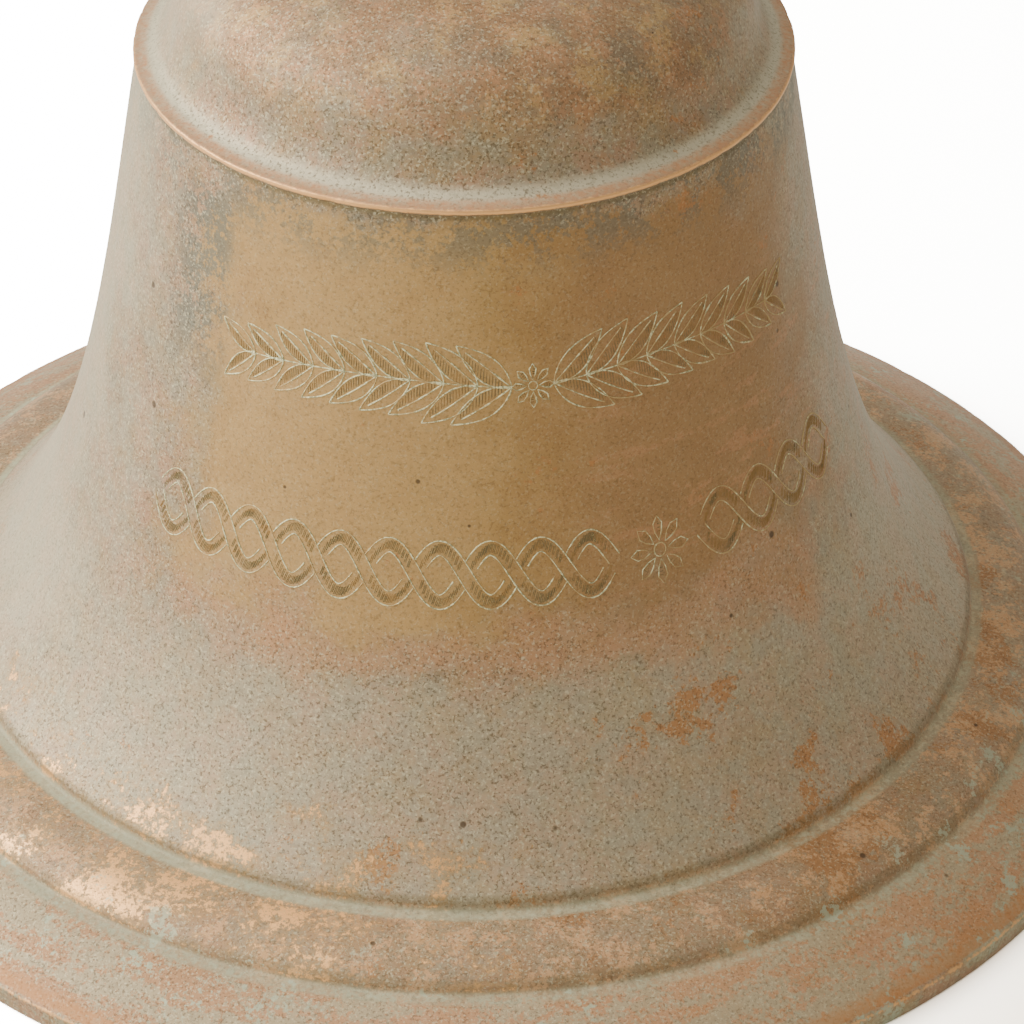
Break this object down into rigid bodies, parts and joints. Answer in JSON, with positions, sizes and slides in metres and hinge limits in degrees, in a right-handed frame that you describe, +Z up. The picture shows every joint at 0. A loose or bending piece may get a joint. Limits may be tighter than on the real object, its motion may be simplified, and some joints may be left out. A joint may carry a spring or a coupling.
{
  "type": "ship bell",
  "caption": "Cast bronze ship bell with a wide flared mouth, stepped mouldings and a hanging eye; a round-headed clapper swings inside on a swivelling fork.",
  "frame": {"origin": "on the bell's axis, in the plane of its mouth", "axes": "+Z up along the bell's axis from mouth to crown, -Y the ornamented front, +X to the right seen from the front"},
  "size_m": [0.3, 0.3, 0.2523],
  "materials": {
    "bell_bronze": "cast, patinated, with worn bright edges",
    "fitting_bronze": "cast, dull",
    "turned_bronze": "turned, satin",
    "bush_bronze": "turned, oiled",
    "pad_leather": "oiled, dark"
  },
  "bodies": {
    "bell": {"bell_shell": "bell_bronze", "crown_leather": "pad_leather", "upper_washer": "turned_bronze", "clamp_nut": "turned_bronze", "hanger_eye": "fitting_bronze", "eye_pin": "turned_bronze", "inner_leather": "pad_leather", "inner_washer": "turned_bronze", "crown_bolt": "turned_bronze", "upper_thrust_washer": "bush_bronze", "lower_thrust_washer": "bush_bronze", "slotted_nut": "turned_bronze", "nut_split_pin": "turned_bronze"},
    "swivel": {"swivel_fork": "fitting_bronze", "pivot_pin": "turned_bronze", "pivot_washer": "turned_bronze", "pivot_split_pin": "turned_bronze"},
    "clapper": {"clapper_rod": "fitting_bronze", "clapper_bush": "bush_bronze", "clapper_ball": "fitting_bronze", "ball_pin": "turned_bronze", "tail_eye": "fitting_bronze"}
  },
  "joints": [
    {"name": "clapper_swivel", "type": "hinge", "parent": "bell", "child": "swivel", "pos_m": [0, 0, 0.16], "axis": [0, 0, 1], "continuous": true},
    {"name": "clapper_swing", "type": "hinge", "parent": "swivel", "child": "clapper", "pos_m": [0, 0, 0.1367], "axis": [0, 1, 0], "range_deg": [-38.5, 38.5]}
  ]
}
